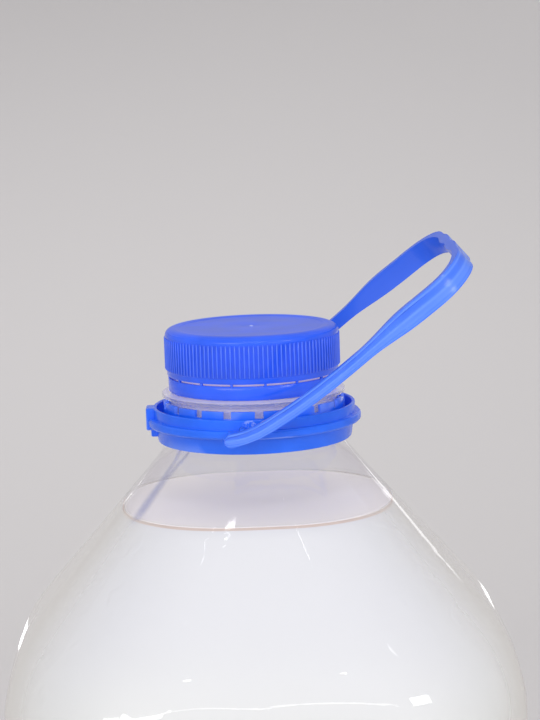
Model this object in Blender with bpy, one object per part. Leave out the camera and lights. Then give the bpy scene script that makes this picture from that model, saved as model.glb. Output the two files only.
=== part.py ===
"""Five litre clear jug of liquid soap: a ribbed screw cap and a neck ring with a swinging handle.

The jug stands on z = 0 with its neck on the z axis.  Its front face looks along -Y and the
handle's hinge axis runs along Y.  Heights on the neck are measured down from the cap's top.
"""
import math

import bmesh
import bpy

MM = 0.001

# Overall
CAP_TOP = 326.0            # height of the cap's top above the floor, mm
FIT_GAP = 0.3              # clearance between parts that touch

# Bottle
NECK_RADIUS = 22.3
NECK_BORE = 20.75
BEAD_RADIUS = 22.95
BEAD_TOP = 11.2            # the bead over which the tamper band sits
BEAD_HEIGHT = 2.4
FLANGE_RADIUS = 26.5
FLANGE_TOP = 18.3          # depth below the cap's top
FLANGE_THICK = 1.4
THROAT_RADIUS = 23.6
THROAT_TOP = 26.0
BORE_BOTTOM = 28.0         # where the straight bore ends and the wall starts to follow the outside
INNER_START = 33.5
CONE_START_RADIUS = 27.5   # the shoulder cone's radius at its reference depth
CONE_START_DEPTH = 37.0
CONE_SLOPE = 0.853         # growth of the half width for each mm of depth
BODY_HALF_WIDTH = 74.3
SHOULDER_RADIUS = 42.0     # bend from the shoulder into the body
THROAT_BLEND = 3.0         # softness of the bend from the throat into the shoulder
BODY_CORNER_RATIO = 0.62   # corner radius over half width
WALL = 0.8
BASE_WALL = 1.2
HEEL_RADIUS = 13.0
FOOT_INNER = 47.0          # half width where the foot's flat ends and the push-up starts
PUSH_UP = 7.0
SECTION_POINTS = 40

# Soap
FILL_DEPTH = 50.3

# Cap
CAP_RADIUS = 25.2          # over the ribs
CAP_RIBS = 120
RIB_DEPTH = 0.38
RIB_TOP = 2.4
RIB_BOTTOM = 11.5
CAP_EDGE_RADIUS = 24.6
CAP_DISC_RADIUS = 20.7
CAP_DISC_RECESS = 0.25
GATE_DIMPLE = 0.12
CAP_EDGE_START = 22.6      # where the top starts to roll over into the side
CAP_EDGE_HEIGHT = 1.9
CAP_SKIRT_RADIUS = 24.65
CAP_INNER_RADIUS = 23.6
CAP_TOP_THICK = 1.5
SLIT_TOP = 13.3
SLIT_BOTTOM = 13.95
BAND_RADIUS = 24.3
BAND_INNER_RADIUS = 23.3
BAND_BOTTOM = 17.9
BRIDGES = 16
BRIDGE_DEG = 2.2
BRIDGE_TURN = 7.2          # turns the row of bridges about the neck, degrees

# Handle ring
RIM_TOP = 22.6
RIM_RADIUS = 29.1
RIM_THICK = 1.0
RING_BOTTOM = 32.4
RING_BOTTOM_RADIUS = 27.9
RAIL_TOP = 25.5
RAIL_BOTTOM = 27.8
RAIL_RADIUS = 30.7
LIP_RADIUS = 25.75
TEETH = 18
NOTCH_DEG = 5.3
TOOTH_TURN = 12.1          # turns the row of teeth in the same way
TOOTH_TOP = 20.8
NOTCH_BOTTOM = 22.8
TOOTH_TIP_OUTER = 25.95
TOOTH_TIP_INNER = 25.0
POCKET_BOTTOM = 30.2       # the groove between the teeth and the rim
POCKET_INNER_RADIUS = 26.7
POCKET_OUTER_RADIUS = 27.25
TAB_WIDTH = 7.0
TAB_REACH = 31.1
TAB_ROOT = 28.4            # the tab and the lugs are fused to the wall from here out
STEP_BOTTOM = 31.0         # the lower step under the tab
LUG_ROOT = 28.2
LUG_BEHIND = 1.7
LUG_AHEAD = 1.9

# Handle strap
HINGE_X = -6.35
HINGE_DEPTH = 27.15
STRAP_OFFSET = 34.1        # from the middle plane to the strap's middle at the hinge
STRAP_THICK = 2.0
STRAP_STRAIGHT = 20.0      # parallel stretch beside the ring
STRAP_REACH = 80.9
GRIP_HALF = 26.5
GRIP_CORNER = 14.5
STRAP_TAIL = 2.6           # stretch behind the hinge axis
END_ROUND = 1.9            # radius of its end, and the share of the width left flat there
END_FLAT = 0.3
STRAP_NARROW = 3.7
STRAP_WIDE = 6.35
WIDEN_START = 43.5
WIDEN_END = 59.5
# The strap's rise: distance from the hinge along the strap, and its slope there in degrees.
RISE = ((0.0, 8.0), (8.0, 32.7), (45.0, 39.8), (62.0, 36.3), (80.9, 41.0))
STRAP_TWIST = 2.4          # degrees that the back leg stands above the middle plane
GRIP_SKEW = 0.8            # how much less far the grip's back end reaches
UPPER_CHANNEL = 0.4        # depth of the channels along the strap's outer face
LOWER_CHANNEL = 0.25
RIDGE_DROP = 0.12          # how far the ridge between them lies below the face
# The face's steps as shares of the width, counted from its middle upwards.
EDGE_STEP = 0.35
RIDGE_TOP = 0.02
RIDGE_BOTTOM = -0.13
STEP_SLOPE = 0.05
CHANNEL_START = 22.0       # the channels fade out between these distances from the grip's face
CHANNEL_END = 8.0
GRIP_LOBES = 4
LOBE_PITCH = 10.7
LOBE_HEIGHT = 0.7
LOBE_FADE = 0.5            # share of the height that the outer ridges lose, over this stretch
LOBE_FADE_START = 8.0
LOBE_FADE_END = 14.0


def remove_everything():
    for obj in list(bpy.data.objects):
        bpy.data.objects.remove(obj, do_unlink=True)


def material(name, colour, roughness, alpha=1.0):
    mat = bpy.data.materials.new(name)
    mat.use_nodes = True
    shader = mat.node_tree.nodes["Principled BSDF"]
    shader.inputs["Base Color"].default_value = (*colour, 1.0)
    shader.inputs["Roughness"].default_value = roughness
    shader.inputs["Metallic"].default_value = 0.0
    shader.inputs["Alpha"].default_value = alpha
    return mat


def add_object(name, bm, mat, origin=(0.0, 0.0, 0.0), sharp_deg=35.0):
    """Makes an object from a bmesh in world millimetres, with its origin at a world point."""
    bmesh.ops.remove_doubles(bm, verts=bm.verts, dist=1e-5)
    bmesh.ops.recalc_face_normals(bm, faces=bm.faces)
    for vert in bm.verts:
        vert.co = [(vert.co[i] - origin[i]) * MM for i in range(3)]
    mesh = bpy.data.meshes.new(name)
    bm.to_mesh(mesh)
    bm.free()
    mesh.materials.append(mat)
    mesh.shade_smooth()
    mesh.set_sharp_from_angle(angle=math.radians(sharp_deg))
    obj = bpy.data.objects.new(name, mesh)
    obj.location = [c * MM for c in origin]
    bpy.context.scene.collection.objects.link(obj)
    return obj


def soft_max(a, b, blend):
    return 0.5 * (a + b + math.sqrt((a - b) ** 2 + blend ** 2))


def between(value, stops):
    """Reads a value from (position, value) stops, straight between them and level outside."""
    if value <= stops[0][0]:
        return stops[0][1]
    for (p0, v0), (p1, v1) in zip(stops, stops[1:]):
        if value <= p1:
            return v0 + (v1 - v0) * (value - p0) / (p1 - p0)
    return stops[-1][1]


def rounded_square(half, ratio, z, count=SECTION_POINTS):
    """Points round a square with round corners, at equal angles about the z axis."""
    corner = ratio * half
    flat = half - corner
    points = []
    for k in range(count):
        angle = 2.0 * math.pi * k / count
        c, s = abs(math.cos(angle)), abs(math.sin(angle))
        big, small = max(c, s), min(c, s)
        reach = half / big
        if small * reach > flat:
            along = flat * (big + small)
            reach = along + math.sqrt(along ** 2 - 2.0 * flat ** 2 + corner ** 2)
        points.append((reach * math.cos(angle), reach * math.sin(angle), z))
    return points


def circle(radius, z, angles):
    return [(radius * math.cos(a), radius * math.sin(a), z) for a in angles]


def even_angles(count):
    return [2.0 * math.pi * k / count for k in range(count)]


def add_ring(bm, points):
    return [bm.verts.new(p) for p in points]


def bridge(bm, low, high):
    """Joins two closed rings; the bigger one may have a whole multiple of the points."""
    if len(low) > len(high):
        low, high = high, low
    step = len(high) // len(low)
    n, m = len(low), len(high)
    for i in range(n):
        a, b = low[i], low[(i + 1) % n]
        if step == 1:
            bm.faces.new((a, b, high[(i + 1) % m], high[i]))
            continue
        middle = step // 2
        for j in range(step):
            p = high[(i * step + j) % m]
            q = high[(i * step + j + 1) % m]
            bm.faces.new((a if j < middle else b, q, p))
            if j == middle:
                bm.faces.new((a, b, p))


def close_ring(bm, ring, z):
    """Closes a ring with a fan about a point on the z axis."""
    centre = bm.verts.new((0.0, 0.0, z))
    for i, vert in enumerate(ring):
        bm.faces.new((vert, ring[(i + 1) % len(ring)], centre))


def corner_ratio(depth):
    return between(depth, [(32.0, 1.0), (42.0, 0.88), (55.0, 0.80), (75.0, 0.72),
                           (95.0, 0.66), (115.0, BODY_CORNER_RATIO)])


def shoulder_half(depth):
    """Half width of the bottle's outside below the neck."""
    lean = math.atan(CONE_SLOPE)
    meet = CONE_START_DEPTH + (BODY_HALF_WIDTH - CONE_START_RADIUS) / CONE_SLOPE
    tangent = SHOULDER_RADIUS * math.tan(lean / 2.0)
    if depth <= meet - tangent * math.cos(lean):
        cone = CONE_START_RADIUS + CONE_SLOPE * (depth - CONE_START_DEPTH)
        return soft_max(THROAT_RADIUS, cone, THROAT_BLEND)
    above = max(meet + tangent - depth, 0.0)
    return BODY_HALF_WIDTH - SHOULDER_RADIUS + math.sqrt(SHOULDER_RADIUS ** 2 - above ** 2)


def heel_half(z):
    """Half width of the outside where the body turns under into the foot."""
    drop = HEEL_RADIUS - z
    body = shoulder_half(CAP_TOP - HEEL_RADIUS)
    return body - HEEL_RADIUS + math.sqrt(max(HEEL_RADIUS ** 2 - drop ** 2, 0.0))


def wall_depths(start):
    """Depths of the sections from the throat down to where the heel starts."""
    depths = [d for d in (31.0, 33.5, 36.5, 41.0, 48.0, 64.0, 80.0, 85.0, 89.5, 94.0, 98.5,
                          103.0, 107.5) if d > start + 1.0]
    return [start] + depths + [CAP_TOP - HEEL_RADIUS]


def heel_heights():
    return [HEEL_RADIUS * (1.0 - math.sin(math.radians(a))) for a in (18, 36, 54, 72)]


def push_up(t):
    """Height of the underside between the foot (t = 1) and the middle (t = 0)."""
    return PUSH_UP * 0.5 * (1.0 + math.cos(math.pi * t))


def bottle(mat):
    bm = bmesh.new()
    outside = []
    neck = even_angles(SECTION_POINTS)
    rim_z = CAP_TOP - CAP_TOP_THICK - FIT_GAP
    for radius, z in ((NECK_BORE, rim_z), (NECK_RADIUS, rim_z),
                      (NECK_RADIUS, CAP_TOP - BEAD_TOP), (BEAD_RADIUS, CAP_TOP - BEAD_TOP - 1.0),
                      (BEAD_RADIUS, CAP_TOP - BEAD_TOP - 2.0),
                      (NECK_RADIUS, CAP_TOP - BEAD_TOP - BEAD_HEIGHT),
                      (NECK_RADIUS, CAP_TOP - FLANGE_TOP),
                      (FLANGE_RADIUS - 0.3, CAP_TOP - FLANGE_TOP),
                      (FLANGE_RADIUS, CAP_TOP - FLANGE_TOP - 0.3),
                      (FLANGE_RADIUS, CAP_TOP - FLANGE_TOP - FLANGE_THICK + 0.3),
                      (FLANGE_RADIUS - 0.3, CAP_TOP - FLANGE_TOP - FLANGE_THICK),
                      (THROAT_RADIUS + 0.1, CAP_TOP - FLANGE_TOP - FLANGE_THICK)):
        outside.append(circle(radius, z, neck))
    for depth in wall_depths(THROAT_TOP):
        outside.append(rounded_square(shoulder_half(depth), corner_ratio(depth), CAP_TOP - depth))
    for z in heel_heights():
        outside.append(rounded_square(heel_half(z), BODY_CORNER_RATIO, z))
    outside.append(rounded_square(BODY_HALF_WIDTH - HEEL_RADIUS, BODY_CORNER_RATIO, 0.0))
    outside.append(rounded_square(FOOT_INNER, BODY_CORNER_RATIO, 0.0))
    for t in (0.7, 0.35):
        outside.append(rounded_square(FOOT_INNER * t, BODY_CORNER_RATIO, push_up(t)))

    inside = [circle(NECK_BORE, CAP_TOP - BORE_BOTTOM, neck)]
    for depth in wall_depths(INNER_START):
        inside.append(inner_section(depth, WALL))
    inside += inner_base(WALL, BASE_WALL)

    rings = [add_ring(bm, points) for points in outside]
    for upper, lower in zip(rings, rings[1:]):
        bridge(bm, upper, lower)
    close_ring(bm, rings[-1], PUSH_UP)
    hollow = [rings[0]] + [add_ring(bm, points) for points in inside]
    for upper, lower in zip(hollow, hollow[1:]):
        bridge(bm, upper, lower)
    close_ring(bm, hollow[-1], PUSH_UP + BASE_WALL)
    return add_object("bottle", bm, mat)


def inner_section(depth, offset):
    """A section of the bottle's inside, or of what fills it, an offset in from the outside."""
    half = shoulder_half(depth) - offset
    ratio = corner_ratio(depth)
    if depth < 42.0:
        half = min(half, between(depth, [(INNER_START, NECK_BORE + 0.9), (42.0, shoulder_half(42.0))]))
    return rounded_square(half, ratio, CAP_TOP - depth)


def inner_base(side, floor):
    """The heel and floor sections of a shape that lies inside the outside by side and floor."""
    sections = []
    for z in heel_heights():
        sections.append(rounded_square(heel_half(z) - side, BODY_CORNER_RATIO, z + floor))
    sections.append(rounded_square(BODY_HALF_WIDTH - HEEL_RADIUS - side, BODY_CORNER_RATIO, floor))
    sections.append(rounded_square(FOOT_INNER, BODY_CORNER_RATIO, floor))
    for t in (0.7, 0.35):
        sections.append(rounded_square(FOOT_INNER * t, BODY_CORNER_RATIO, push_up(t) + floor))
    return sections


def liquid(mat):
    bm = bmesh.new()
    offset = WALL + FIT_GAP
    sections = [inner_section(depth, offset) for depth in wall_depths(FILL_DEPTH)]
    sections += inner_base(offset, BASE_WALL + FIT_GAP)
    rings = [add_ring(bm, points) for points in sections]
    for upper, lower in zip(rings, rings[1:]):
        bridge(bm, upper, lower)
    close_ring(bm, rings[0], CAP_TOP - FILL_DEPTH)
    close_ring(bm, rings[-1], PUSH_UP + BASE_WALL + FIT_GAP)
    return add_object("liquid", bm, mat)


def bridge_angles():
    """Angles of the skirt's columns: each sector has one narrow bridge and four wide columns."""
    sector = 360.0 / BRIDGES
    wide = (sector - BRIDGE_DEG) / 4.0
    angles = []
    for k in range(BRIDGES):
        start = k * sector - BRIDGE_DEG / 2.0 + BRIDGE_TURN
        angles.append(math.radians(start))
        for j in range(4):
            angles.append(math.radians(start + BRIDGE_DEG + j * wide))
    return angles


def cap(mat):
    """Screw cap and tamper band: one moulding, joined by thin bridges across the slit."""
    bm = bmesh.new()
    columns = BRIDGES * 5
    plain = even_angles(columns)
    split = bridge_angles()

    def plain_ring(radius, depth, angles=plain):
        return add_ring(bm, circle(radius, CAP_TOP - depth, angles))

    def rib_ring(radius, depth, rib):
        points = []
        for k in range(2 * CAP_RIBS):
            angle = math.pi * (k - 0.5) / CAP_RIBS
            r = radius - (rib if k % 2 else 0.0)
            points.append((r * math.cos(angle), r * math.sin(angle), CAP_TOP - depth))
        return add_ring(bm, points)

    top = [plain_ring(3.0, CAP_DISC_RECESS), plain_ring(CAP_DISC_RADIUS, CAP_DISC_RECESS),
           plain_ring(CAP_DISC_RADIUS + 0.3, 0.0)]
    for k in range(4):
        a = math.radians(30.0 * k)
        radius = CAP_EDGE_START + (CAP_EDGE_RADIUS - CAP_EDGE_START) * math.sin(a)
        top.append(plain_ring(radius, CAP_EDGE_HEIGHT * (1.0 - math.cos(a))))
    top.append(plain_ring(CAP_EDGE_RADIUS, RIB_TOP - 0.25))
    top.append(rib_ring(CAP_RADIUS, RIB_TOP, RIB_DEPTH))
    top.append(rib_ring(CAP_RADIUS, RIB_BOTTOM, RIB_DEPTH))
    top.append(plain_ring(CAP_SKIRT_RADIUS, RIB_BOTTOM + 0.25))
    skirt_out = plain_ring(CAP_SKIRT_RADIUS - 0.1, SLIT_TOP, split)
    top.append(skirt_out)
    for upper, lower in zip(top, top[1:]):
        bridge(bm, upper, lower)
    close_ring(bm, top[0], CAP_TOP - CAP_DISC_RECESS - GATE_DIMPLE)

    ceiling = plain_ring(CAP_INNER_RADIUS - 0.5, CAP_TOP_THICK)
    cavity = plain_ring(CAP_INNER_RADIUS, CAP_TOP_THICK + 0.5)
    skirt_in = plain_ring(CAP_INNER_RADIUS, SLIT_TOP, split)
    close_ring(bm, ceiling, CAP_TOP - CAP_TOP_THICK)
    bridge(bm, ceiling, cavity)
    bridge(bm, cavity, skirt_in)

    band_out = plain_ring(BAND_RADIUS, SLIT_BOTTOM, split)
    band_in = plain_ring(BAND_INNER_RADIUS, SLIT_BOTTOM, split)
    low_out = plain_ring(BAND_RADIUS - 0.15, BAND_BOTTOM, split)
    low_in = plain_ring(BAND_INNER_RADIUS + 0.15, BAND_BOTTOM, split)
    bridge(bm, band_out, low_out)
    bridge(bm, low_out, low_in)
    bridge(bm, low_in, band_in)

    for j in range(columns):
        k = (j + 1) % columns
        if j % 5:
            bm.faces.new((skirt_out[j], skirt_out[k], skirt_in[k], skirt_in[j]))
            bm.faces.new((band_out[j], band_out[k], band_in[k], band_in[j]))
            continue
        bm.faces.new((skirt_out[j], skirt_out[k], band_out[k], band_out[j]))
        bm.faces.new((skirt_in[j], skirt_in[k], band_in[k], band_in[j]))
        for side in (j, k):
            bm.faces.new((skirt_out[side], skirt_in[side], band_in[side], band_out[side]))
    return add_object("cap", bm, mat)


def tooth_angles():
    """Angles of the ring's columns: each tooth has two columns, and then comes a notch."""
    pitch = 360.0 / TEETH
    wide = (pitch - NOTCH_DEG) / 2.0
    angles = []
    for k in range(TEETH):
        start = k * pitch + NOTCH_DEG / 2.0 + TOOTH_TURN
        for j in range(3):
            angles.append(math.radians(start + j * wide))
    return angles


def ring_block(bm, x_range, y_range, depth_range):
    """A block with its edges softened, to be fused to the ring."""
    made = bmesh.ops.create_cube(bm, size=1.0)
    for vert in made["verts"]:
        for axis, (low, high) in enumerate((x_range, y_range)):
            vert.co[axis] = high if vert.co[axis] > 0 else low
        vert.co[2] = CAP_TOP - (depth_range[0] if vert.co[2] > 0 else depth_range[1])
    edges = {edge for vert in made["verts"] for edge in vert.link_edges}
    bmesh.ops.bevel(bm, geom=list(edges), offset=0.35, segments=1, affect="EDGES")


def handle_ring(mat):
    bm = bmesh.new()
    angles = tooth_angles()
    columns = len(angles)

    def ring(radius, depth):
        return add_ring(bm, circle(radius, CAP_TOP - depth, angles))

    wall_at_rail = RIM_RADIUS - 0.25
    profile = [ring(TOOTH_TIP_OUTER + 0.12, NOTCH_BOTTOM), ring(POCKET_INNER_RADIUS, POCKET_BOTTOM),
               ring(POCKET_OUTER_RADIUS, POCKET_BOTTOM), ring(RIM_RADIUS - RIM_THICK, RIM_TOP + 0.2),
               ring(RIM_RADIUS - RIM_THICK + 0.2, RIM_TOP), ring(RIM_RADIUS - 0.2, RIM_TOP),
               ring(RIM_RADIUS, RIM_TOP + 0.25), ring(wall_at_rail, RAIL_TOP),
               ring(RAIL_RADIUS - 0.4, RAIL_TOP), ring(RAIL_RADIUS, RAIL_TOP + 0.5),
               ring(RAIL_RADIUS, RAIL_BOTTOM - 0.5), ring(RAIL_RADIUS - 0.4, RAIL_BOTTOM),
               ring(wall_at_rail - 0.3, RAIL_BOTTOM), ring(RING_BOTTOM_RADIUS, RING_BOTTOM - 0.2),
               ring(RING_BOTTOM_RADIUS - 0.2, RING_BOTTOM), ring(LIP_RADIUS, RING_BOTTOM),
               ring(LIP_RADIUS - 0.05, RING_BOTTOM - 0.9), ring(TOOTH_TIP_INNER + 0.12, NOTCH_BOTTOM)]
    for upper, lower in zip(profile, profile[1:]):
        bridge(bm, upper, lower)
    outer, inner = profile[0], profile[-1]
    tip_out = ring(TOOTH_TIP_OUTER, TOOTH_TOP)
    tip_in = ring(TOOTH_TIP_INNER, TOOTH_TOP)
    for j in range(columns):
        k = (j + 1) % columns
        if j % 3 == 2:
            bm.faces.new((outer[j], outer[k], inner[k], inner[j]))
            continue
        bm.faces.new((outer[j], outer[k], tip_out[k], tip_out[j]))
        bm.faces.new((tip_out[j], tip_out[k], tip_in[k], tip_in[j]))
        bm.faces.new((inner[j], inner[k], tip_in[k], tip_in[j]))
        if j % 3 == 0:
            bm.faces.new((outer[j], tip_out[j], tip_in[j], inner[j]))
        else:
            bm.faces.new((outer[k], tip_out[k], tip_in[k], inner[k]))
    obj = add_object("handle_ring", bm, mat)

    extras = bmesh.new()
    half = TAB_WIDTH / 2.0
    ring_block(extras, (-TAB_REACH, -TAB_ROOT), (-half, half), (RIM_TOP + 0.1, RAIL_BOTTOM + 1.2))
    ring_block(extras, (-TAB_REACH + 1.3, -TAB_ROOT + 0.7), (-half + 0.6, half - 0.6),
               (RAIL_BOTTOM + 0.8, STEP_BOTTOM))
    lug_out = STRAP_OFFSET - STRAP_THICK / 2.0 - FIT_GAP
    for side in (-1.0, 1.0):
        y_range = sorted((side * LUG_ROOT, side * lug_out))
        ring_block(extras, (HINGE_X - LUG_BEHIND, HINGE_X + LUG_AHEAD), y_range,
                   (RAIL_TOP - 0.1, RAIL_BOTTOM + 0.1))
    blocks = add_object("ring_blocks", extras, mat)
    blocks.hide_render = True
    blocks.display_type = "WIRE"
    join = obj.modifiers.new("blocks", "BOOLEAN")
    join.operation = "UNION"
    join.use_self = True
    join.object = blocks
    return obj


def strap_outline():
    """Half of the strap's middle line in its own plane: (distance from the hinge, offset)."""
    corner_start = STRAP_REACH - GRIP_CORNER
    points = [(along, STRAP_OFFSET) for along in (-STRAP_TAIL, -2.4, -1.8, -0.9, 0.0, 7.0, 14.0)]
    steps = 13
    for k in range(steps + 1):
        t = k / steps
        along = STRAP_STRAIGHT + (corner_start - STRAP_STRAIGHT) * t
        ease = between(t, [(0.0, 0.0), (0.15, 0.10), (1.0, 1.0)])
        points.append((along, STRAP_OFFSET + (GRIP_HALF - STRAP_OFFSET) * ease))
    for k in range(1, 7):
        a = math.radians(15.0 * k)
        points.append((corner_start + GRIP_CORNER * math.sin(a),
                       GRIP_HALF - GRIP_CORNER + GRIP_CORNER * math.cos(a)))
    steps = 8
    for k in range(1, steps + 1):
        points.append((STRAP_REACH, (GRIP_HALF - GRIP_CORNER) * (1.0 - k / steps)))
    return points


def lift(along, across, height):
    """Takes a point of the strap's own plane to its place along the strap's rising line."""
    twist = STRAP_TWIST * across / STRAP_OFFSET
    along -= GRIP_SKEW * (along / STRAP_REACH) * (across + STRAP_OFFSET) / (2.0 * STRAP_OFFSET)
    steps = 24
    x, z = HINGE_X, CAP_TOP - HINGE_DEPTH
    for k in range(steps):
        slope = math.radians(between(along * (k + 0.5) / steps, RISE) + twist)
        x += math.cos(slope) * along / steps
        z += math.sin(slope) * along / steps
    slope = math.radians(between(along, RISE) + twist)
    return (x - height * math.sin(slope), across, z + height * math.cos(slope))


def strap_width(along):
    """Narrow beside the ring, with a round end behind the hinge, and wide at the grip."""
    t = min(max((along - WIDEN_START) / (WIDEN_END - WIDEN_START), 0.0), 1.0)
    width = STRAP_NARROW + (STRAP_WIDE - STRAP_NARROW) * t * t * (3.0 - 2.0 * t)
    behind = max(-along - STRAP_TAIL + END_ROUND, 0.0) / END_ROUND
    return width * max(math.sqrt(1.0 - min(behind, 1.0) ** 2), END_FLAT)


def strap_section(width, thick, relief):
    """Round a section: (height in the strap's plane normal, distance outwards)."""
    h = width / 2.0
    o = thick / 2.0
    upper = o - UPPER_CHANNEL * relief
    lower = o - LOWER_CHANNEL * relief
    ridge = o - RIDGE_DROP * relief
    edge, slope = EDGE_STEP * width, STEP_SLOPE * width
    top, bottom = RIDGE_TOP * width, RIDGE_BOTTOM * width
    return [(-h, -o), (h, -o), (h, o), (edge, o), (edge - slope, upper), (top + slope, upper),
            (top, ridge), (bottom, ridge), (bottom - slope, lower), (-edge + slope, lower),
            (-edge, o), (-h, o)]


def lobe(along, across):
    """Extra thickness, on each face, of the cross ridges on the grip."""
    if along < STRAP_REACH - GRIP_CORNER or abs(across) > LOBE_PITCH * GRIP_LOBES / 2.0:
        return 0.0
    fade = between(abs(across), [(LOBE_FADE_START, 0.0), (LOBE_FADE_END, LOBE_FADE)])
    height = LOBE_HEIGHT * (1.0 - fade)
    return height * math.sin(math.pi * (across / LOBE_PITCH + GRIP_LOBES / 2.0)) ** 2


def handle_bail(mat):
    bm = bmesh.new()
    half = strap_outline()
    line = [(a, -b) for a, b in half] + [(a, b) for a, b in reversed(half[:-1])]
    rings = []
    last = len(line) - 1
    for i, (along, across) in enumerate(line):
        a0, b0 = line[max(i - 1, 0)]
        a1, b1 = line[min(i + 1, last)]
        length = math.hypot(a1 - a0, b1 - b0)
        out_a, out_b = (b1 - b0) / length, -(a1 - a0) / length
        thick = STRAP_THICK + 2.0 * lobe(along, across)
        relief = between(along, [(STRAP_REACH - CHANNEL_START, 1.0),
                                 (STRAP_REACH - CHANNEL_END, 0.1)])
        points = []
        for height, out in strap_section(strap_width(along), thick, relief):
            points.append(lift(along + out * out_a, across + out * out_b, height))
        rings.append(add_ring(bm, points))
    for first, second in zip(rings, rings[1:]):
        bridge(bm, first, second)
    bm.faces.new(rings[0])
    bm.faces.new(rings[-1])
    bmesh.ops.triangulate(bm, faces=[f for f in bm.faces if len(f.verts) > 4])
    return add_object("handle_bail", bm, mat, origin=(HINGE_X, 0.0, CAP_TOP - HINGE_DEPTH))


def build():
    remove_everything()
    clear = material("clear_pet", (0.93, 0.94, 0.96), 0.05, alpha=0.3)
    milk = material("soap", (0.93, 0.93, 0.90), 0.30)
    cap_blue = material("cap_blue", (0.022, 0.085, 0.80), 0.32)
    ring_blue = material("ring_blue", (0.025, 0.14, 0.90), 0.30)
    strap_blue = material("strap_blue", (0.03, 0.13, 0.88), 0.30)
    bottle(clear)
    liquid(milk)
    cap(cap_blue)
    handle_ring(ring_blue)
    handle_bail(strap_blue)


build()
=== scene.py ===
import math

import bmesh
import bpy
from mathutils import Matrix, Vector


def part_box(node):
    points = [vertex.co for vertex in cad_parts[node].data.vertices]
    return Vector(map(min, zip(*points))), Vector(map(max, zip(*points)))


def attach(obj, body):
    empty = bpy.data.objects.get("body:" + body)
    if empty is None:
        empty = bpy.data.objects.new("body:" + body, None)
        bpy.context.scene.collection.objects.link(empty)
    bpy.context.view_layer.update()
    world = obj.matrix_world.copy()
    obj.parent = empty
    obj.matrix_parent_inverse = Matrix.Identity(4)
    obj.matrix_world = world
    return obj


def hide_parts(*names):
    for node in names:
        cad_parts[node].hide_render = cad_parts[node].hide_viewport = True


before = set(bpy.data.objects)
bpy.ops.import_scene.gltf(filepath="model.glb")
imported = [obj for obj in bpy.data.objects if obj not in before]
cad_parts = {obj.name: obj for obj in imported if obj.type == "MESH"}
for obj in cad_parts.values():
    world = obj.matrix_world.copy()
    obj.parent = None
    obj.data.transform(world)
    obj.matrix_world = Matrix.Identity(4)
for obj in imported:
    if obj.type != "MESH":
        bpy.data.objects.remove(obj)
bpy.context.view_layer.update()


# Blender helpers

def deselectAll():
    if bpy.context.object and bpy.context.object.mode != "OBJECT":
        bpy.ops.object.mode_set(mode="OBJECT")
    bpy.ops.object.select_all(action="DESELECT")


def pickUp(obj):
    deselectAll()
    obj.select_set(True)
    bpy.context.view_layer.objects.active = obj


# how the loose triangles of a CAD node's copy are merged
mergeSettings = {"distance": 0.000005, "faceAngle": 35.0, "shapeAngle": 60.0}


def copyNode(node, name):
    # a merged, clean copy of a CAD node's mesh, to be finished further
    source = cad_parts[node]
    mesh = source.data.copy()
    mesh.name = name
    piece = bpy.data.objects.new(name, mesh)
    bpy.context.scene.collection.objects.link(piece)
    pickUp(piece)
    if mesh.has_custom_normals:
        bpy.ops.mesh.customdata_custom_splitnormals_clear()
    bpy.ops.object.mode_set(mode="EDIT")
    bpy.ops.mesh.select_all(action="SELECT")
    bpy.ops.mesh.remove_doubles(threshold=mergeSettings["distance"])
    bpy.ops.mesh.tris_convert_to_quads(face_threshold=math.radians(mergeSettings["faceAngle"]),
                                       shape_threshold=math.radians(mergeSettings["shapeAngle"]))
    bpy.ops.mesh.normals_make_consistent(inside=False)
    bpy.ops.object.mode_set(mode="OBJECT")
    return piece


def selectFaces(obj, test):
    # enters edit mode with only the faces selected whose centre and normal pass the test
    pickUp(obj)
    bpy.ops.object.mode_set(mode="EDIT")
    bpy.context.tool_settings.mesh_select_mode = (False, False, True)
    bpy.ops.mesh.select_all(action="DESELECT")
    bm = bmesh.from_edit_mesh(obj.data)
    for face in bm.faces:
        if test(face.calc_center_median(), face.normal):
            face.select_set(True)
    bmesh.update_edit_mesh(obj.data)


def selectEdges(obj, test):
    # in edit mode: selects only the edges whose two ends pass the test
    bpy.context.tool_settings.mesh_select_mode = (False, True, False)
    bpy.ops.mesh.select_all(action="DESELECT")
    bm = bmesh.from_edit_mesh(obj.data)
    for edge in bm.edges:
        if all(test(vert.co) for vert in edge.verts):
            edge.select_set(True)
    bmesh.update_edit_mesh(obj.data)


def applyModifier(obj, kind, **settings):
    pickUp(obj)
    modifier = obj.modifiers.new(kind.lower(), kind)
    for key, value in settings.items():
        setattr(modifier, key, value)
    bpy.ops.object.modifier_apply(modifier=modifier.name)


def smoothSubdivide(obj, levels):
    applyModifier(obj, "SUBSURF", levels=levels, render_levels=levels)
    obj.data.shade_smooth()


def smoothByAngle(obj, degrees=50.0):
    pickUp(obj)
    bpy.ops.object.shade_smooth_by_angle(angle=math.radians(degrees))
    return obj


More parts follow.
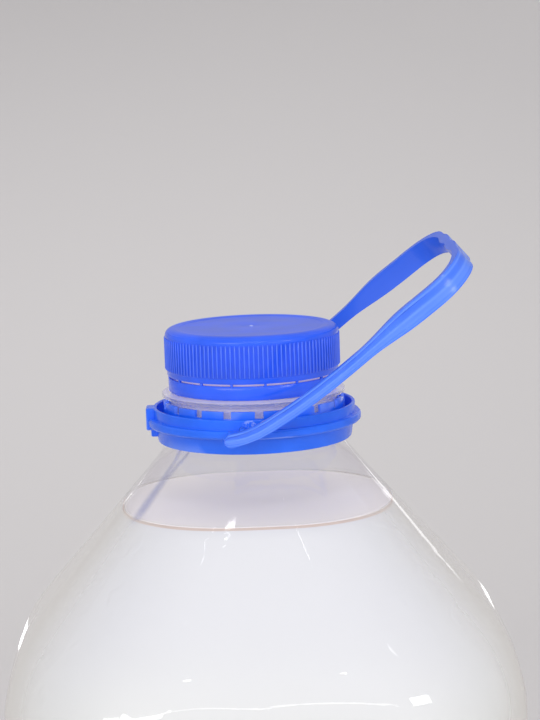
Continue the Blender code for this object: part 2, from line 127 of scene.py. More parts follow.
def turned(name, sides, profile, closed=False):
    # a round piece: a circle at the first stop, extruded through the rest; a stop is (radius, height)
    deselectAll()
    radius, height = profile[0]
    bpy.ops.mesh.primitive_circle_add(vertices=sides, radius=radius, location=(0.0, 0.0, height))
    piece = bpy.context.object
    piece.name = name
    bpy.ops.object.transform_apply(location=True, rotation=True, scale=True)
    bpy.ops.object.mode_set(mode="EDIT")
    bpy.context.tool_settings.mesh_select_mode = (False, True, False)
    bpy.ops.mesh.select_all(action="SELECT")
    for (r0, z0), (r1, z1) in zip(profile, profile[1:]):
        bpy.ops.mesh.extrude_edges_move(TRANSFORM_OT_translate={"value": (0.0, 0.0, z1 - z0)})
        bpy.ops.transform.resize(value=(r1 / r0, r1 / r0, 1.0), center_override=(0.0, 0.0, z1))
    bpy.ops.mesh.select_all(action="DESELECT")
    bpy.ops.mesh.select_non_manifold(use_wire=False, use_boundary=True, use_multi_face=False,
                                     use_non_contiguous=False, use_verts=False)
    if closed:
        bpy.ops.mesh.bridge_edge_loops()
    else:
        bpy.ops.mesh.fill_holes(sides=0)
    bpy.ops.mesh.select_all(action="SELECT")
    bpy.ops.mesh.normals_make_consistent(inside=False)
    bpy.ops.object.mode_set(mode="OBJECT")
    return piece


def softBlock(name, low, high, edge):
    # a block between two corners with its edges bevelled
    deselectAll()
    middle = [(a + b) / 2.0 for a, b in zip(low, high)]
    bpy.ops.mesh.primitive_cube_add(size=1.0, location=middle)
    block = bpy.context.object
    block.name = name
    block.scale = [b - a for a, b in zip(low, high)]
    bpy.ops.object.transform_apply(location=True, rotation=True, scale=True)
    bpy.ops.object.mode_set(mode="EDIT")
    bpy.ops.mesh.select_all(action="SELECT")
    bpy.ops.mesh.bevel(offset=edge, segments=1)
    bpy.ops.object.mode_set(mode="OBJECT")
    return block


def copiesRound(piece, count, start=0.0):
    # the piece and its copies at equal steps about the upright axis, each with its own mesh
    made = []
    for k in range(count):
        twin = piece.copy()
        twin.data = piece.data.copy()
        twin.data.transform(Matrix.Rotation(math.radians(start + 360.0 * k / count), 4, "Z"))
        bpy.context.scene.collection.objects.link(twin)
        made.append(twin)
    bpy.data.objects.remove(piece, do_unlink=True)
    return made


def joined(first, others):
    pickUp(first)
    for other in others:
        other.select_set(True)
    bpy.ops.object.join()
    return first


# Shader helper

class Wire:
    # one output socket of a material's node tree, for maths written as expressions
    def __init__(self, tree, socket=None):
        self.tree = tree
        self.socket = socket

    def node(self, kind, settings, sockets, out=0):
        made = self.tree.nodes.new("ShaderNode" + kind)
        for key, value in settings.items():
            if key == "stops":
                # (place, value) pairs from place 0 to place 1
                elements = made.color_ramp.elements
                elements[0].color = (value[0][1],) * 3 + (1.0,)
                elements[1].color = (value[-1][1],) * 3 + (1.0,)
                for place, level in value[1:-1]:
                    elements.new(place).color = (level, level, level, 1.0)
            else:
                setattr(made, key, value)
        for key, value in sockets.items():
            if isinstance(value, Wire):
                self.tree.links.new(value.socket, made.inputs[key])
            else:
                made.inputs[key].default_value = value
        return Wire(self.tree, made.outputs[out])

    def maths(self, operation, a, b):
        return self.node("Math", {"operation": operation}, {0: a, 1: b})

    def __add__(self, other):
        return self.maths("ADD", self, other)

    def __radd__(self, other):
        return self.maths("ADD", other, self)

    def __sub__(self, other):
        return self.maths("SUBTRACT", self, other)

    def __rsub__(self, other):
        return self.maths("SUBTRACT", other, self)

    def __mul__(self, other):
        return self.maths("MULTIPLY", self, other)

    def __rmul__(self, other):
        return self.maths("MULTIPLY", other, self)

    def ramp(self, start, end):
        # 0 before start, 1 after end, smooth between
        return self.node("MapRange", {"interpolation_type": "SMOOTHSTEP"},
                         {"Value": self, "From Min": start, "From Max": end})

    def rise(self, top, depths):
        # for a height: 0 at the first depth below the top, 1 at the second
        return self.ramp(top - depths[0], top - depths[1])

    def blend(self, first, second):
        # this wire as the share of the second colour
        return self.node("Mix", {"data_type": "RGBA"}, {0: self, 6: first, 7: second}, out=2)


def rgba(colour):
    return (*colour, 1.0)


def newMaterial(name):
    mat = bpy.data.materials.new(name)
    mat.use_nodes = True
    tree = mat.node_tree
    tree.nodes.clear()
    output = tree.nodes.new("ShaderNodeOutputMaterial")
    return mat, Wire(tree), output


def place(wire):
    # object coordinates, whole and one axis at a time
    coords = wire.node("TexCoord", {}, {}, out="Object")
    axes = [wire.node("SeparateXYZ", {}, {0: coords}, out=i) for i in range(3)]
    return coords, axes


def putMaterial(obj, mat):
    obj.data.materials.clear()
    obj.data.materials.append(mat)


# Materials

petLook = {
    "clear": (0.985, 0.985, 0.995), "smoky": (0.94, 0.93, 0.955),
    # reflection seen straight on, and what it gains aslant
    "gloss": 0.045, "grazing": 0.85, "roughness": 0.04,
    "waveScale": 26.0, "wave": 0.16,
    "dimpleScale": 130.0, "dimpleFrom": (0.60, 0.78), "dimple": 0.16,
    "bump": 0.35, "bumpDepth": 0.001,
    # painted shade and reflection: where the soap is behind the wall, its outline turns creamy grey
    "edge": (0.76, 0.735, 0.69), "outlineShadeFrom": (0.24, 0.92), "outlineShadeShare": 0.80, "levelSoft": 0.0001,
    # a painted reflection of the blue ring: a dark blue line down the near left corner's ridge
    # the painted reflection: its turn about the axis, half widths, and depths where it narrows and starts
    "ringReflection": (0.20, 0.23, 0.48), "ringReflectionRoughness": 0.3, "ringReflectionShare": 0.34, "ringReflectionTurn": 213.0,
    "ringReflectionWidth": 0.0009, "ringReflectionSpread": 0.0024, "ringReflectionNarrows": (0.050, 0.030), "ringReflectionStarts": (0.053, 0.048),
    "ringReflectionSide": (-0.001, 0.0),      # along X: it is on the left only
    # the thick neck bends light, the thin body doesn't
    "neck": (0.975, 0.965, 0.985), "neckRoughness": 0.02, "neckIor": 1.38, "neckShare": 0.30,
    "neckStarts": (0.0216, 0.0206),
    # a painted glow on the neck: its colour, roughness, strength and share
    "paintedGlow": (0.90, 0.83, 0.90), "paintedGlowRoughness": 0.15, "paintedGlowStrength": 0.12, "paintedGlowShare": 0.08,
    # by depth: the flange's upward faces and the throat under it, which get a painted glow, and the slit
    # between cap and band, which gets painted light
    "flange": (0.0180, 0.0187), "flangeUp": (0.75, 0.95), "flangeGlowShare": 0.40,
    "throat": (0.0202, 0.0245), "throatGlowShare": 0.24,
    "slit": (0.95, 0.80, 0.86), "slitRoughness": 0.2, "slitGlow": 0.26, "slitZone": (0.0127, 0.0148),
    "zoneSoft": 0.0003,
    "shade": (0.96, 0.965, 0.98),       # the light that a shadow lets through
}


def makePet(top, level):
    look = petLook
    mat, wire, output = newMaterial("clearPet")
    coords, (x, y, z) = place(wire)

    def mixed(share, first, second):
        return wire.node("MixShader", {}, {0: share, 1: first, 2: second})

    def zone(depths):
        # 1 between two depths below the cap's top
        high, low = top - depths[0], top - depths[1]
        soft = look["zoneSoft"]
        return z.ramp(low - soft, low + soft) * (1.0 - z.ramp(high - soft, high + soft))

    def glowing(colour, roughness, strength):
        return wire.node("BsdfPrincipled", {}, {
            "Base Color": rgba(colour), "Roughness": roughness,
            "Emission Color": rgba(colour), "Emission Strength": strength})

    # the film: clear, with a gloss that grows as it turns away
    wave = wire.node("TexNoise", {}, {
        "Vector": coords, "Scale": look["waveScale"], "Detail": 2.0, "Roughness": 0.5})
    fine = wire.node("TexNoise", {}, {
        "Vector": coords, "Scale": look["dimpleScale"], "Detail": 1.0, "Roughness": 0.5})
    height = wave * look["wave"] + fine.ramp(*look["dimpleFrom"]) * look["dimple"]
    bump = wire.node("Bump", {}, {
        "Strength": look["bump"], "Distance": look["bumpDepth"], "Height": height})
    facing = wire.node("LayerWeight", {}, {"Blend": 0.5, "Normal": bump}, out="Facing")
    square = facing * facing
    fourth = square * square
    clear = wire.node("BsdfTransparent", {}, {"Color": rgba(look["clear"])})
    smoky = wire.node("BsdfTransparent", {}, {"Color": rgba(look["smoky"])})
    # painted shade and reflection: a creamy grey diffuse that takes over at the outline
    outlineShade = wire.node("BsdfDiffuse", {}, {"Color": rgba(look["edge"])})
    empty = mixed(fourth, clear, smoky)
    full = mixed(facing.ramp(*look["outlineShadeFrom"]) * look["outlineShadeShare"], clear, outlineShade)
    wall = mixed(z.ramp(level - look["levelSoft"], level + look["levelSoft"]), full, empty)
    gloss = wire.node("BsdfGlossy", {}, {
        "Color": rgba((1.0, 1.0, 1.0)), "Roughness": look["roughness"], "Normal": bump})
    film = mixed(fourth * facing * look["grazing"] + look["gloss"], wall, gloss)

    # painted reflection of the blue ring down the near left corner's ridge, broad low down
    turn = math.radians(look["ringReflectionTurn"])
    aside = wire.maths("ABSOLUTE", x * math.sin(turn) - y * math.cos(turn), 0.0)
    width = (1.0 - z.rise(top, look["ringReflectionNarrows"])) * look["ringReflectionSpread"] + look["ringReflectionWidth"]
    ringReflectionLine = 1.0 - wire.maths("DIVIDE", aside, width).ramp(0.0, 1.0)
    leftHalf = 1.0 - x.ramp(*look["ringReflectionSide"])
    ringReflectionLine = ringReflectionLine * leftHalf * z.rise(top, look["ringReflectionStarts"]) * look["ringReflectionShare"]
    ringReflectionShader = wire.node("BsdfPrincipled", {}, {
        "Base Color": rgba(look["ringReflection"]), "Roughness": look["ringReflectionRoughness"]})
    body = mixed(ringReflectionLine, film, ringReflectionShader)

    # the neck: thicker, so it bends light; it gets a painted glow, and the slit under the cap gets painted
    # light
    neck = wire.node("BsdfPrincipled", {}, {
        "Base Color": rgba(look["neck"]), "Roughness": look["neckRoughness"], "IOR": look["neckIor"],
        "Transmission Weight": 1.0})
    atNeck = z.rise(top, look["neckStarts"])
    bent = mixed(atNeck * look["neckShare"], body, neck)
    normal = wire.node("NewGeometry", {}, {}, out="Normal")
    upward = wire.node("SeparateXYZ", {}, {0: normal}, out=2).ramp(*look["flangeUp"])
    paintedGlow = atNeck * look["paintedGlowShare"] + zone(look["flange"]) * upward * look["flangeGlowShare"]
    paintedGlow = paintedGlow + zone(look["throat"]) * look["throatGlowShare"]
    withPaintedGlow = mixed(paintedGlow, bent, glowing(look["paintedGlow"], look["paintedGlowRoughness"], look["paintedGlowStrength"]))
    # painted light: the slit between cap and band glows pale pink
    slit = glowing(look["slit"], look["slitRoughness"], look["slitGlow"])
    whole = mixed(zone(look["slitZone"]), withPaintedGlow, slit)

    shadow = wire.node("LightPath", {}, {}, out="Is Shadow Ray")
    through = wire.node("BsdfTransparent", {}, {"Color": rgba(look["shade"])})
    wire.tree.links.new(mixed(shadow, whole, through).socket, output.inputs["Surface"])
    return mat


soapLook = {
    "white": (0.745, 0.752, 0.775), "cream": (0.775, 0.785, 0.715),
    "creamDepth": (0.075, 0.005), "cloudScale": 14.0, "cloudReach": 0.02,
    "line": (0.66, 0.54, 0.48), "lineDepth": (0.0010, 0.0008),      # the thin line where it meets the wall
    # painted light on the top face: a lighter lavender than the body's white
    "surface": (0.84, 0.81, 0.83), "surfaceUp": (0.70, 0.90), "surfaceDepth": (0.003, 0.002),
    "through": (0.185, 0.165, 0.125),       # painted glow on the top face, for light that rises through the soap
    "roughness": 0.45, "smoother": 0.33, "specular": 0.4,       # smoother comes off the surface's roughness
}


def makeSoap(level):
    look = soapLook
    mat, wire, output = newMaterial("milkySoap")
    coords, (x, y, z) = place(wire)
    cloudy = wire.node("TexNoise", {}, {"Vector": coords, "Scale": look["cloudScale"], "Detail": 1.0})
    low = 1.0 - (z + cloudy * look["cloudReach"]).rise(level, look["creamDepth"])
    body = low.blend(rgba(look["white"]), rgba(look["cream"]))
    normal = wire.node("NewGeometry", {}, {}, out="True Normal")
    upright = wire.node("SeparateXYZ", {}, {0: normal}, out=2)
    surface = upright.ramp(*look["surfaceUp"]) * z.rise(level, look["surfaceDepth"])
    lined = z.rise(level, look["lineDepth"]).blend(body, rgba(look["line"]))
    # painted light: the top face gets its lighter lavender and a glow
    colour = surface.blend(lined, rgba(look["surface"]))
    paintedTopGlow = surface.blend(rgba((0.0, 0.0, 0.0)), rgba(look["through"]))
    shader = wire.node("BsdfPrincipled", {}, {
        "Base Color": colour, "Roughness": look["roughness"] - surface * look["smoother"],
        "Specular IOR Level": look["specular"], "Emission Color": paintedTopGlow, "Emission Strength": 1.0})
    wire.tree.links.new(shader.socket, output.inputs["Surface"])
    return mat


# side is the roughness of upright faces, keen the share of painted highlight on sharp edges
plasticLook = {
    "cap": {"colour": (0.022, 0.118, 0.95), "roughness": 0.30, "side": 0.20, "wave": 0.05, "keen": 0.10},
    "ring": {"colour": (0.014, 0.150, 0.98), "roughness": 0.26, "side": 0.22, "wave": 0.25, "keen": 0.45},
    "strap": {"colour": (0.045, 0.170, 0.92), "roughness": 0.25, "side": 0.20, "wave": 0.30, "keen": 0.30},
}
# what the three blue mouldings share
mouldedLook = {
    "mottleScale": 90.0, "mottleFrom": (0.30, 0.72), "deep": 0.90, "pale": 1.06, "paleLift": 0.004,
    "sideFrom": (0.10, 0.60), "roughSpread": 0.08,
    "keen": (0.22, 0.36, 1.0), "keenFrom": (0.52, 0.62),        # a painted highlight makes sharp edges paler
    "corner": 0.55, "cornerFrom": (0.40, 0.48), "cornerShare": 0.45,    # painted shade: inner corners are darker
    "grainScale": 900.0, "grain": 0.10, "waveScale": 210.0, "bump": 0.5, "bumpDepth": 0.0003,
    "ior": 1.49, "specular": 0.5,
}
# by radius and depth below the top: a painted highlight on the rib crests, painted shade on the wall between
# the ribs, and a painted highlight on the gate's nub
ribPaintedLight = {
    "lowerEnd": (0.0118, 0.0114), "upperEnd": (0.0030, 0.0024),
    "crestHighlight": (0.19, 0.34, 1.0), "crestFrom": (0.02500, 0.02514), "crestHighlightShare": 0.20,
    "valleyShade": (0.012, 0.055, 0.70), "valleyFrom": (0.02488, 0.02496), "valleyShadeShare": 0.35,
    "nubHighlight": (0.62, 0.68, 1.0), "nubHighlightShare": 0.8, "nubRadius": (0.00040, 0.00075), "nubDepth": (0.0008, 0.0006),
}
# painted highlights and shade across the strap's outer face, from its lower edge (0) to its upper edge (1)
strapBandLight = {
    "pale": (0.135, 0.300, 1.0), "inner": (0.036, 0.135, 0.80), "innerShadeShare": 0.85,     # inner is painted shade, a deep blue on the inner faces
    "stops": [(0.0, 0.05), (0.07, 0.65), (0.13, 0.30), (0.20, 0.70), (0.36, 0.60), (0.44, 0.95),
              (0.49, 0.75), (0.54, 0.22), (0.66, 0.08), (0.78, 0.15), (0.85, 0.95), (0.92, 0.30), (1.0, 0.0)],
}
# a stress mark on the front of the ring's wall, where the moulding entered, with a painted highlight on it
stressMarkAndGlintLook = {
    "x": -0.0016, "depth": 0.0236, "width": 0.0022, "height": 0.0012, "fade": (0.2, 1.3),
    "speckScale": 1500.0, "speckFrom": (0.42, 0.62), "behind": (-0.027, -0.026),
    "colour": (0.62, 0.74, 1.0), "share": 0.40, "relief": 0.2,
}


def paintRibLight(wire, base, axes, top):
    look = ribPaintedLight
    x, y, z = axes
    radius = wire.maths("SQRT", x * x + y * y, 0.0)
    onRibs = z.rise(top, look["lowerEnd"]) * (1.0 - z.rise(top, look["upperEnd"]))
    crestHighlight = radius.ramp(*look["crestFrom"]) * onRibs
    valleyShade = (1.0 - radius.ramp(*look["valleyFrom"])) * onRibs
    # painted highlight on the crests, painted shade between the ribs
    base = (crestHighlight * look["crestHighlightShare"]).blend(base, rgba(look["crestHighlight"]))
    base = (valleyShade * look["valleyShadeShare"]).blend(base, rgba(look["valleyShade"]))
    # painted highlight on the gate's nub
    nubHighlight = (1.0 - radius.ramp(*look["nubRadius"])) * z.rise(top, look["nubDepth"])
    return (nubHighlight * look["nubHighlightShare"]).blend(base, rgba(look["nubHighlight"]))


def paintStrapBandLight(wire, base):
    # by the height and the side that makeStrap writes on its points
    along = wire.node("Attribute", {"attribute_name": "strapHeight"}, {}, out="Fac")
    outer = wire.node("Attribute", {"attribute_name": "strapOuter"}, {}, out="Fac")
    # painted highlights and shade across the outer face, and painted shade on the inner faces
    bands = wire.node("ValToRGB", {"stops": strapBandLight["stops"]}, {0: along})
    base = (bands * outer).blend(base, rgba(strapBandLight["pale"]))
    return ((1.0 - outer) * strapBandLight["innerShadeShare"]).blend(base, rgba(strapBandLight["inner"]))


def stressMarkAndGlint(wire, coords, axes, top):
    look = stressMarkAndGlintLook
    x, y, z = axes
    across = (x - look["x"]) * (1.0 / look["width"])
    down = (z - (top - look["depth"])) * (1.0 / look["height"])
    near = 1.0 - (across * across + down * down).ramp(*look["fade"])
    specks = wire.node("TexNoise", {}, {
        "Vector": coords, "Scale": look["speckScale"], "Detail": 2.0, "Roughness": 0.7})
    return near * specks.ramp(*look["speckFrom"]) * (1.0 - y.ramp(*look["behind"]))


def makePlastic(name, part, top):
    look = plasticLook[part]
    common = mouldedLook
    mat, wire, output = newMaterial(name)
    coords, axes = place(wire)
    mottle = wire.node("TexNoise", {}, {
        "Vector": coords, "Scale": common["mottleScale"], "Detail": 3.0, "Roughness": 0.55})
    deep = tuple(c * common["deep"] for c in look["colour"])
    pale = tuple(min(1.0, c * common["pale"] + common["paleLift"]) for c in look["colour"])
    base = mottle.ramp(*common["mottleFrom"]).blend(rgba(deep), rgba(pale))
    normal = wire.node("NewGeometry", {}, {}, out="Normal")
    upright = wire.node("SeparateXYZ", {}, {0: normal}, out=2)
    side = 1.0 - (upright * upright).ramp(*common["sideFrom"])
    keen = wire.node("NewGeometry", {}, {}, out="Pointiness")
    # painted highlight: sharp edges turn paler
    base = (keen.ramp(*common["keenFrom"]) * look["keen"]).blend(base, rgba(common["keen"]))
    # painted shade in inner corners
    corner = (1.0 - keen.ramp(*common["cornerFrom"])) * common["cornerShare"]
    base = corner.blend(base, rgba(c * common["corner"] for c in look["colour"]))
    grain = wire.node("TexNoise", {}, {
        "Vector": coords, "Scale": common["grainScale"], "Detail": 2.0, "Roughness": 0.6})
    wave = wire.node("TexNoise", {}, {
        "Vector": coords, "Scale": common["waveScale"], "Detail": 1.0, "Roughness": 0.5})
    height = grain * common["grain"] + wave * look["wave"]
    if part == "cap":
        base = paintRibLight(wire, base, axes, top)
    if part == "strap":
        base = paintStrapBandLight(wire, base)
    if part == "ring":
        # a stress mark with a painted highlight on the ring's front
        markAndGlint = stressMarkAndGlint(wire, coords, axes, top)
        base = (markAndGlint * stressMarkAndGlintLook["share"]).blend(base, rgba(stressMarkAndGlintLook["colour"]))
        height = height + markAndGlint * stressMarkAndGlintLook["relief"]
    spread = common["roughSpread"]
    rough = mottle * spread + side * (look["side"] - look["roughness"]) + (look["roughness"] - spread / 2.0)
    bump = wire.node("Bump", {}, {
        "Strength": common["bump"], "Distance": common["bumpDepth"], "Height": height})
    shader = wire.node("BsdfPrincipled", {}, {
        "Base Color": base, "Roughness": rough, "IOR": common["ior"],
        "Specular IOR Level": common["specular"], "Normal": bump})
    wire.tree.links.new(shader.socket, output.inputs["Surface"])
    return mat


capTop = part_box("cap")[1].z
petMaterial = makePet(capTop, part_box("liquid")[1].z)
capMaterial = makePlastic("capPlastic", "cap", capTop)
ringMaterial = makePlastic("ringPlastic", "ring", capTop)
strapMaterial = makePlastic("strapPlastic", "strap", capTop)
print("materials made")


# Clear bottle

bottleShell = copyNode("bottle", "bottleShell")
smoothSubdivide(bottleShell, 2)
putMaterial(bottleShell, petMaterial)
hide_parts("bottle")
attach(bottleShell, "jug")
print("bottle made:", len(bottleShell.data.polygons), "faces")


# Soap

soapSizes = {
    "intoWall": 0.0008, "meniscus": 0.0009, "curl": 0.0005,
    # what counts as the top face, by its normal and depth, and as its rim, which stays fairly sharp
    "topUp": 0.9, "topBand": 0.002, "rimBand": 0.00005, "rimCrease": 0.9,
}


def makeSoapBody():
    piece = copyNode("liquid", "soapBody")
    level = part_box("liquid")[1].z
    selectFaces(piece, lambda centre, normal: True)
    bpy.ops.transform.shrink_fatten(value=soapSizes["intoWall"], use_even_offset=True)
    bpy.ops.object.mode_set(mode="OBJECT")
    # the top goes back to its level, and its middle sinks a little inside the rim
    lowest = level - soapSizes["topBand"]
    selectFaces(piece, lambda centre, normal: normal.z > soapSizes["topUp"] and centre.z > lowest)
    bpy.ops.transform.resize(value=(1.0, 1.0, 0.0), center_override=(0.0, 0.0, level))
    bpy.ops.mesh.inset(thickness=soapSizes["meniscus"], depth=0.0)
    bpy.ops.transform.translate(value=(0.0, 0.0, -soapSizes["curl"]))
    bpy.ops.object.mode_set(mode="OBJECT")
    crease = piece.data.attributes.new("crease_edge", "FLOAT", "EDGE")
    for edge in piece.data.edges:
        ends = [piece.data.vertices[v].co for v in edge.vertices]
        if all(p.z > level - soapSizes["rimBand"] for p in ends):
            crease.data[edge.index].value = soapSizes["rimCrease"]
    smoothSubdivide(piece, 2)
    putMaterial(piece, makeSoap(level))
    return piece


soapBody = makeSoapBody()
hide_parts("liquid")
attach(soapBody, "jug")
print("soap made:", len(soapBody.data.polygons), "faces")


# Cap

capSizes = {
    # radius and depth below the top, in mm: the gate's nub and dimple, the sunk disc and the step round it
    "top": [(0.15, 0.12), (0.40, 0.15), (0.52, 0.26), (0.58, 0.37), (1.9, 0.36), (2.8, 0.29), (3.1, 0.25),
            (12.0, 0.25), (20.3, 0.25), (20.5, 0.23), (20.75, 0.12), (21.0, 0.06), (21.7, 0.05),
            (21.85, 0.0)],
    "edge": (22.4, 2.55, 2.1),              # where the top rolls over: start, reach outwards, drop
    "side": [(24.95, 2.35), (24.86, 2.5), (24.86, 11.6), (24.72, 11.8), (24.62, 12.1), (24.60, 13.15),
             (24.5, 13.3)],
    "inside": [(23.75, 13.3), (23.6, 13.15), (23.6, 2.1), (23.4, 1.65), (23.0, 1.5), (0.15, 1.5)],
    "band": [(24.2, 13.95), (24.31, 14.06), (24.33, 16.0), (24.22, 17.75), (24.08, 17.9), (23.5, 17.9),
             (23.38, 17.78), (23.3, 14.08), (23.42, 13.95)],
    # inner and outer radius, half width, depth of the top and the bottom, and rounding
    "rib": (24.6, 25.18, 0.25, 2.4, 11.55, 0.17), "ribs": 120,
    "bridge": (23.6, 24.42, 0.36, 13.2, 14.05, 0.12), "bridges": 16, "bridgeTurn": 7.2,
    "sides": 240, "rollSteps": 8,
}


def makeCap():
    mm = 0.001

    def stops(pairs):
        return [(radius * mm, capTop - depth * mm) for radius, depth in pairs]

    def standing(name, sizes):
        inner, outer, half, top, bottom, edge = [s * mm for s in sizes]
        return softBlock(name, (inner, -half, capTop - bottom), (outer, half, capTop - top), edge)

    start, reach, drop = capSizes["edge"]
    roll = []
    for k in range(capSizes["rollSteps"] + 1):
        a = math.radians(90.0 * k / capSizes["rollSteps"])
        roll.append((start + reach * math.sin(a), drop * (1.0 - math.cos(a))))
    outline = capSizes["top"] + roll + capSizes["side"] + capSizes["inside"]
    shell = turned("screwCap", capSizes["sides"], stops(outline))
    band = turned("tamperBand", capSizes["sides"], stops(capSizes["band"]), closed=True)
    ribs = copiesRound(standing("capRib", capSizes["rib"]), capSizes["ribs"])
    bridge = standing("bandBridge", capSizes["bridge"])
    bridges = copiesRound(bridge, capSizes["bridges"], capSizes["bridgeTurn"])
    return smoothByAngle(joined(shell, [band] + ribs + bridges))


screwCap = makeCap()
putMaterial(screwCap, capMaterial)
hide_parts("cap")
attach(screwCap, "jug")
print("cap made:", len(screwCap.data.polygons), "faces")


# Neck ring

ringSizes = {
    "edge": 0.0002, "edgeAngle": 35.0,
    # the small pin beside each end of the strap: place along X and below the cap's top, and reach along Y
    "pinAt": (-0.0039, 0.025), "pinFrom": 0.0284, "pinTo": 0.0328,
    "pinRadius": 0.00085, "pinEdge": 0.0002, "pinSides": 24,
}


def makePin(side):
    deselectAll()
    x, depth = ringSizes["pinAt"]
    middle = side * (ringSizes["pinFrom"] + ringSizes["pinTo"]) / 2.0
    bpy.ops.mesh.primitive_cylinder_add(
        vertices=ringSizes["pinSides"], radius=ringSizes["pinRadius"],
        depth=ringSizes["pinTo"] - ringSizes["pinFrom"], location=(x, middle, capTop - depth),
        rotation=(math.radians(90), 0.0, 0.0))
    pin = bpy.context.object
    bpy.ops.object.transform_apply(location=True, rotation=True, scale=True)
    bpy.ops.object.mode_set(mode="EDIT")
    bpy.ops.mesh.select_all(action="SELECT")
    bpy.ops.mesh.bevel(offset=ringSizes["pinEdge"], segments=2)
    bpy.ops.object.mode_set(mode="OBJECT")
    return pin


def makeRing():
    ring = copyNode("handle_ring", "neckRing")
    applyModifier(ring, "BEVEL", width=ringSizes["edge"], segments=2, limit_method="ANGLE",
                  angle_limit=math.radians(ringSizes["edgeAngle"]))
    return smoothByAngle(joined(ring, [makePin(-1.0), makePin(1.0)]))


neckRing = makeRing()
putMaterial(neckRing, ringMaterial)
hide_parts("handle_ring")
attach(neckRing, "jug")
print("ring made:", len(neckRing.data.polygons), "faces")


# Handle strap

strapSizes = {
    "edge": 0.00018, "edgeAngle": 40.0,
    # the hinge seen from the side, the legs' distance from the middle, their opposite turns and the reach
    "hinge": (-0.00635, capTop - 0.02715), "offset": 0.0341, "twist": 2.4, "reach": 0.0809,
    # distance from the hinge along the strap, and the slope there in degrees; the same for the half width
    "rise": ((0.0, 8.0), (0.008, 32.7), (0.045, 39.8), (0.062, 36.3), (0.0809, 41.0)),
    "half": ((0.0435, 0.00185), (0.0515, 0.00251), (0.0595, 0.003175)),
    "steps": 120, "before": 0.003, "beyond": 0.004,
    "outerFrom": 0.15,      # how far a face has to turn outwards to count as the outer side
}


def readStops(value, stops):
    for (p0, v0), (p1, v1) in zip(stops, stops[1:]):
        if value <= p1:
            return v0 + (v1 - v0) * max(value - p0, 0.0) / (p1 - p0)
    return stops[-1][1]


def strapLine():
    # the strap's middle line as seen from its side: place, direction and distance from the hinge
    step = (strapSizes["reach"] + strapSizes["beyond"]) / strapSizes["steps"]
    spot = Vector((-strapSizes["before"], 0.0))
    line = []
    for k in range(strapSizes["steps"]):
        along = k * step - strapSizes["before"]
        slope = math.radians(readStops(along, strapSizes["rise"]))
        run = Vector((math.cos(slope), math.sin(slope)))
        line.append((spot.copy(), run, along))
        spot = spot + run * step
    return line


def makeStrap():
    strap = copyNode("handle_bail", "handleStrap")
    applyModifier(strap, "BEVEL", width=strapSizes["edge"], segments=2, limit_method="ANGLE",
                  angle_limit=math.radians(strapSizes["edgeAngle"]))
    smoothSubdivide(strap, 1)
    # the plastic's bands read two values from the points: height across the strap, and outer or inner side
    line = strapLine()
    middle = line[len(line) // 2][0]
    hingeX, hingeZ = strapSizes["hinge"]
    height = strap.data.attributes.new("strapHeight", "FLOAT", "POINT")
    outer = strap.data.attributes.new("strapOuter", "FLOAT", "POINT")
    for vert in strap.data.vertices:
        turn = -math.radians(strapSizes["twist"]) * vert.co.y / strapSizes["offset"]
        x, z = vert.co.x - hingeX, vert.co.z - hingeZ
        flat = Vector((x * math.cos(turn) - z * math.sin(turn), x * math.sin(turn) + z * math.cos(turn)))
        spot, run, along = min(line, key=lambda stop: (stop[0] - flat).length_squared)
        up = (flat - spot).dot(Vector((-run.y, run.x)))
        half = readStops(along, strapSizes["half"])
        height.data[vert.index].value = min(max(0.5 + 0.5 * up / half, 0.0), 1.0)
        away = Vector((flat.x - middle.x, vert.co.y, 0.0)).normalized()
        outer.data[vert.index].value = 1.0 if vert.normal.dot(away) > strapSizes["outerFrom"] else 0.0
    return strap


handleStrap = makeStrap()
putMaterial(handleStrap, strapMaterial)
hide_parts("handle_bail")
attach(handleStrap, "handle")
print("strap made:", len(handleStrap.data.polygons), "faces")


# Floor and backdrop

stageLook = {
    "half": 3.0, "front": -3.6, "depth": 1.6, "height": 2.2, "sweep": 0.8, "sweepSteps": 24,
    "colour": (0.695, 0.681, 0.683), "cloudScale": 3.0, "cloud": 0.99,
    # painted shade: the backdrop darkens as it rises, and a little to the right
    "dim": 0.91, "dimHeight": (0.12, 0.46), "dimRight": (0.0, 0.5), "dimRightShare": 0.4,
    "roughness": 0.8, "specular": 0.1,
}


def makeFloorMaterial():
    look = stageLook
    mat, wire, output = newMaterial("paleFloor")
    coords, (x, y, z) = place(wire)
    cloudy = wire.node("TexNoise", {}, {"Vector": coords, "Scale": look["cloudScale"], "Detail": 1.0})
    colour = cloudy.blend(rgba(c * look["cloud"] for c in look["colour"]), rgba(look["colour"]))
    paintedShade = z.ramp(*look["dimHeight"]) + x.ramp(*look["dimRight"]) * look["dimRightShare"]
    colour = paintedShade.blend(colour, rgba(c * look["dim"] for c in look["colour"]))
    shader = wire.node("BsdfPrincipled", {}, {
        "Base Color": colour, "Roughness": look["roughness"], "Specular IOR Level": look["specular"]})
    wire.tree.links.new(shader.socket, output.inputs["Surface"])
    return mat


def makeStage():
    deselectAll()
    bpy.ops.mesh.primitive_plane_add(size=2.0, location=(0.0, 0.0, 0.0))
    floor = bpy.context.object
    floor.name = "studioFloor"
    for vert in floor.data.vertices:
        vert.co.x *= stageLook["half"]
        vert.co.y = stageLook["depth"] if vert.co.y > 0 else stageLook["front"]
    pickUp(floor)
    bpy.ops.object.mode_set(mode="EDIT")
    nearly = 0.01
    atBack = stageLook["depth"] - nearly
    selectEdges(floor, lambda point: point.y > atBack)
    bpy.ops.mesh.extrude_region_move(TRANSFORM_OT_translate={"value": (0.0, 0.0, stageLook["height"])})
    selectEdges(floor, lambda point: point.y > atBack and point.z < nearly)
    bpy.ops.mesh.bevel(offset=stageLook["sweep"], segments=stageLook["sweepSteps"])
    bpy.ops.object.mode_set(mode="OBJECT")
    floor.data.shade_smooth()
    putMaterial(floor, makeFloorMaterial())


makeStage()


# Light and camera

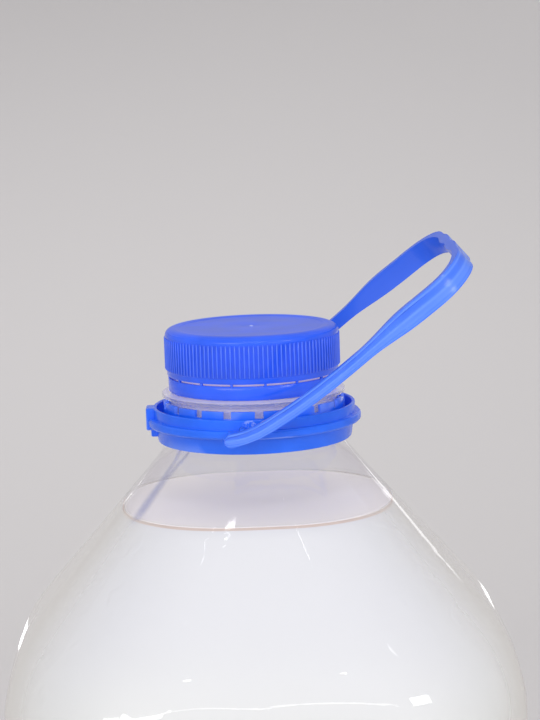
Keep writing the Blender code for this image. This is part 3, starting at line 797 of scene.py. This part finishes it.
# each lamp: where it stands, what it points at, its width and height, and its power in watts
softLamps = {
    # wide fill that doesn't show in reflections
    "front": ((0.02, -1.20, 1.35), (0.0, 0.0, 0.28), (0.6, 0.5), 5.0),
    "left": ((-1.0, -1.4, 0.70), (0.0, 0.0, 0.25), (0.9, 0.9), 5.2),
    "right": ((1.0, -1.4, 0.70), (0.0, 0.0, 0.25), (0.9, 0.9), 6.0),
    "top": ((0.0, 0.5, 2.1), (0.0, 0.5, 0.0), (2.2, 1.8), 2.6),
    "back": ((-0.1, 1.15, 0.95), (0.0, 0.0, 0.15), (0.9, 0.5), 2.4),
}
glintLamps = {
    # panels and spots a step away that do, in the bends of the bottle
    "panelLeft": ((-0.84, -1.26, 0.88), (0.0, 0.0, 0.24), (1.0, 0.10), 2.5),
    "panelRight": ((1.06, -0.96, 0.98), (0.0, 0.0, 0.24), (0.35, 0.16), 1.4),
    "strip": ((0.20, -1.42, 0.93), (0.0, 0.0, 0.24), (1.3, 0.03), 0.5),
    "spotLeft": ((-0.214, -0.981, 1.415), (0.0, 0.0, 0.24), (0.05, 0.03), 0.09),
    "spotRight": ((0.229, -0.945, 1.44), (0.0, 0.0, 0.24), (0.05, 0.03), 0.09),
    "sideHigh": ((0.75, -0.40, 1.51), (0.03, -0.05, 0.25), (0.03, 0.08), 0.03),
    # small lamps close by, for the short marks on the flat front of the shoulder
    "nearLine": ((-0.040, -0.144, 0.555), (-0.008, -0.038, 0.276), (0.022, 0.002), 0.0012),
    "nearLeft": ((-0.089, -0.127, 0.550), (-0.015, -0.042, 0.272), (0.002, 0.013), 0.0006),
    "nearRight": ((0.063, -0.144, 0.549), (0.012, -0.043, 0.271), (0.002, 0.013), 0.0006),
    # and behind, for the marks along its two outlines
    "backRight": ((0.152, 0.266, 0.280), (0.043, -0.014, 0.270), (0.075, 0.025), 0.0060),
    "backLow": ((0.125, 0.297, 0.183), (0.067, 0.009, 0.242), (0.012, 0.012), 0.0008),
    "backLeft": ((-0.107, 0.287, 0.270), (-0.035, -0.004, 0.280), (0.004, 0.020), 0.0004),
    "leftLow": ((-0.1195, 0.287, 0.170), (-0.070, -0.001, 0.2375), (0.010, 0.015), 0.0010),
}
air = {"colour": (0.56, 0.548, 0.553), "strength": 1.0}
viewFrom = {"at": (-0.00908, -0.64994, 0.416), "turn": (81.2173, 1.9309, -1.5417),
            "lens": 114.5, "sensor": 36.0, "nearest": 0.01}


def makeLamps(lamps, glint):
    for name, (at, to, size, power) in lamps.items():
        data = bpy.data.lights.new(name, "AREA")
        data.shape = "RECTANGLE"
        data.size, data.size_y = size
        data.energy = power
        lamp = bpy.data.objects.new(name, data)
        bpy.context.scene.collection.objects.link(lamp)
        lamp.location = at
        lamp.rotation_euler = (Vector(to) - Vector(at)).to_track_quat("-Z", "Y").to_euler()
        lamp.visible_glossy = glint
        lamp.visible_camera = False


def makeAir():
    world = bpy.data.worlds.new("studioAir")
    world.use_nodes = True
    background = world.node_tree.nodes["Background"]
    background.inputs["Color"].default_value = rgba(air["colour"])
    background.inputs["Strength"].default_value = air["strength"]
    bpy.context.scene.world = world


def makeCamera():
    data = bpy.data.cameras.new("camera")
    data.lens = viewFrom["lens"]
    data.sensor_width = viewFrom["sensor"]
    data.clip_start = viewFrom["nearest"]
    camera = bpy.data.objects.new("camera", data)
    bpy.context.scene.collection.objects.link(camera)
    camera.location = viewFrom["at"]
    camera.rotation_euler = [math.radians(a) for a in viewFrom["turn"]]
    bpy.context.scene.camera = camera


makeLamps(softLamps, glint=False)
makeLamps(glintLamps, glint=True)
makeAir()
makeCamera()
bpy.context.scene.view_settings.view_transform = "Standard"
print("stage, light and camera made")
